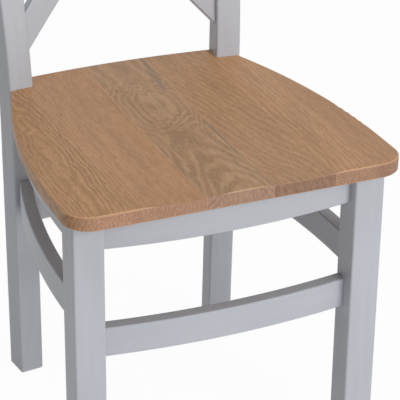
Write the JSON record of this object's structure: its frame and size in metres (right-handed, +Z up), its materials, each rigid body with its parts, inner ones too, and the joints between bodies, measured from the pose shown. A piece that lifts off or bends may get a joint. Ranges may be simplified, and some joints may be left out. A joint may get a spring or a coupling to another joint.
{
  "type": "cross back chair",
  "caption": "Dining chair with painted square legs, bowed rails, two crossed bars between leaning uprights under a curved crest, and a flat oak stave seat.",
  "frame": {"origin": "on the floor under the middle of the overall box", "axes": "+Z up, the chair faces -Y, +X to the right of someone who looks at its front"},
  "size_m": [0.4592, 0.5134, 0.9942],
  "materials": {
    "paint": "satin light grey paint over hardwood",
    "oak": "oiled oak",
    "bare_wood": "bare beech",
    "steel": "zinc-plated"
  },
  "bodies": {
    "root": {"front_leg_left": "paint", "front_leg_right": "paint", "back_leg_left": "paint", "back_leg_right": "paint", "front_apron": "paint", "side_apron_left": "paint", "side_apron_right": "paint", "rear_apron": "paint", "front_stretcher": "paint", "side_stretcher_left": "paint", "side_stretcher_right": "paint", "rear_stretcher": "paint", "cross_bar_a": "paint", "cross_bar_b": "paint", "crest_rail": "paint", "seat_stave_1": "oak", "seat_stave_2": "oak", "seat_stave_3": "oak", "seat_stave_4": "oak", "seat_stave_5": "oak", "seat_stave_6": "oak", "corner_block_front_left": "bare_wood", "corner_block_front_right": "bare_wood", "corner_block_rear_left": "bare_wood", "corner_block_rear_right": "bare_wood", "apron_dowels": "bare_wood", "stretcher_dowels": "bare_wood", "crest_rail_dowels": "bare_wood", "cross_bar_dowels": "bare_wood", "corner_block_screws": "steel", "seat_screws": "steel"}
  },
  "joints": []
}
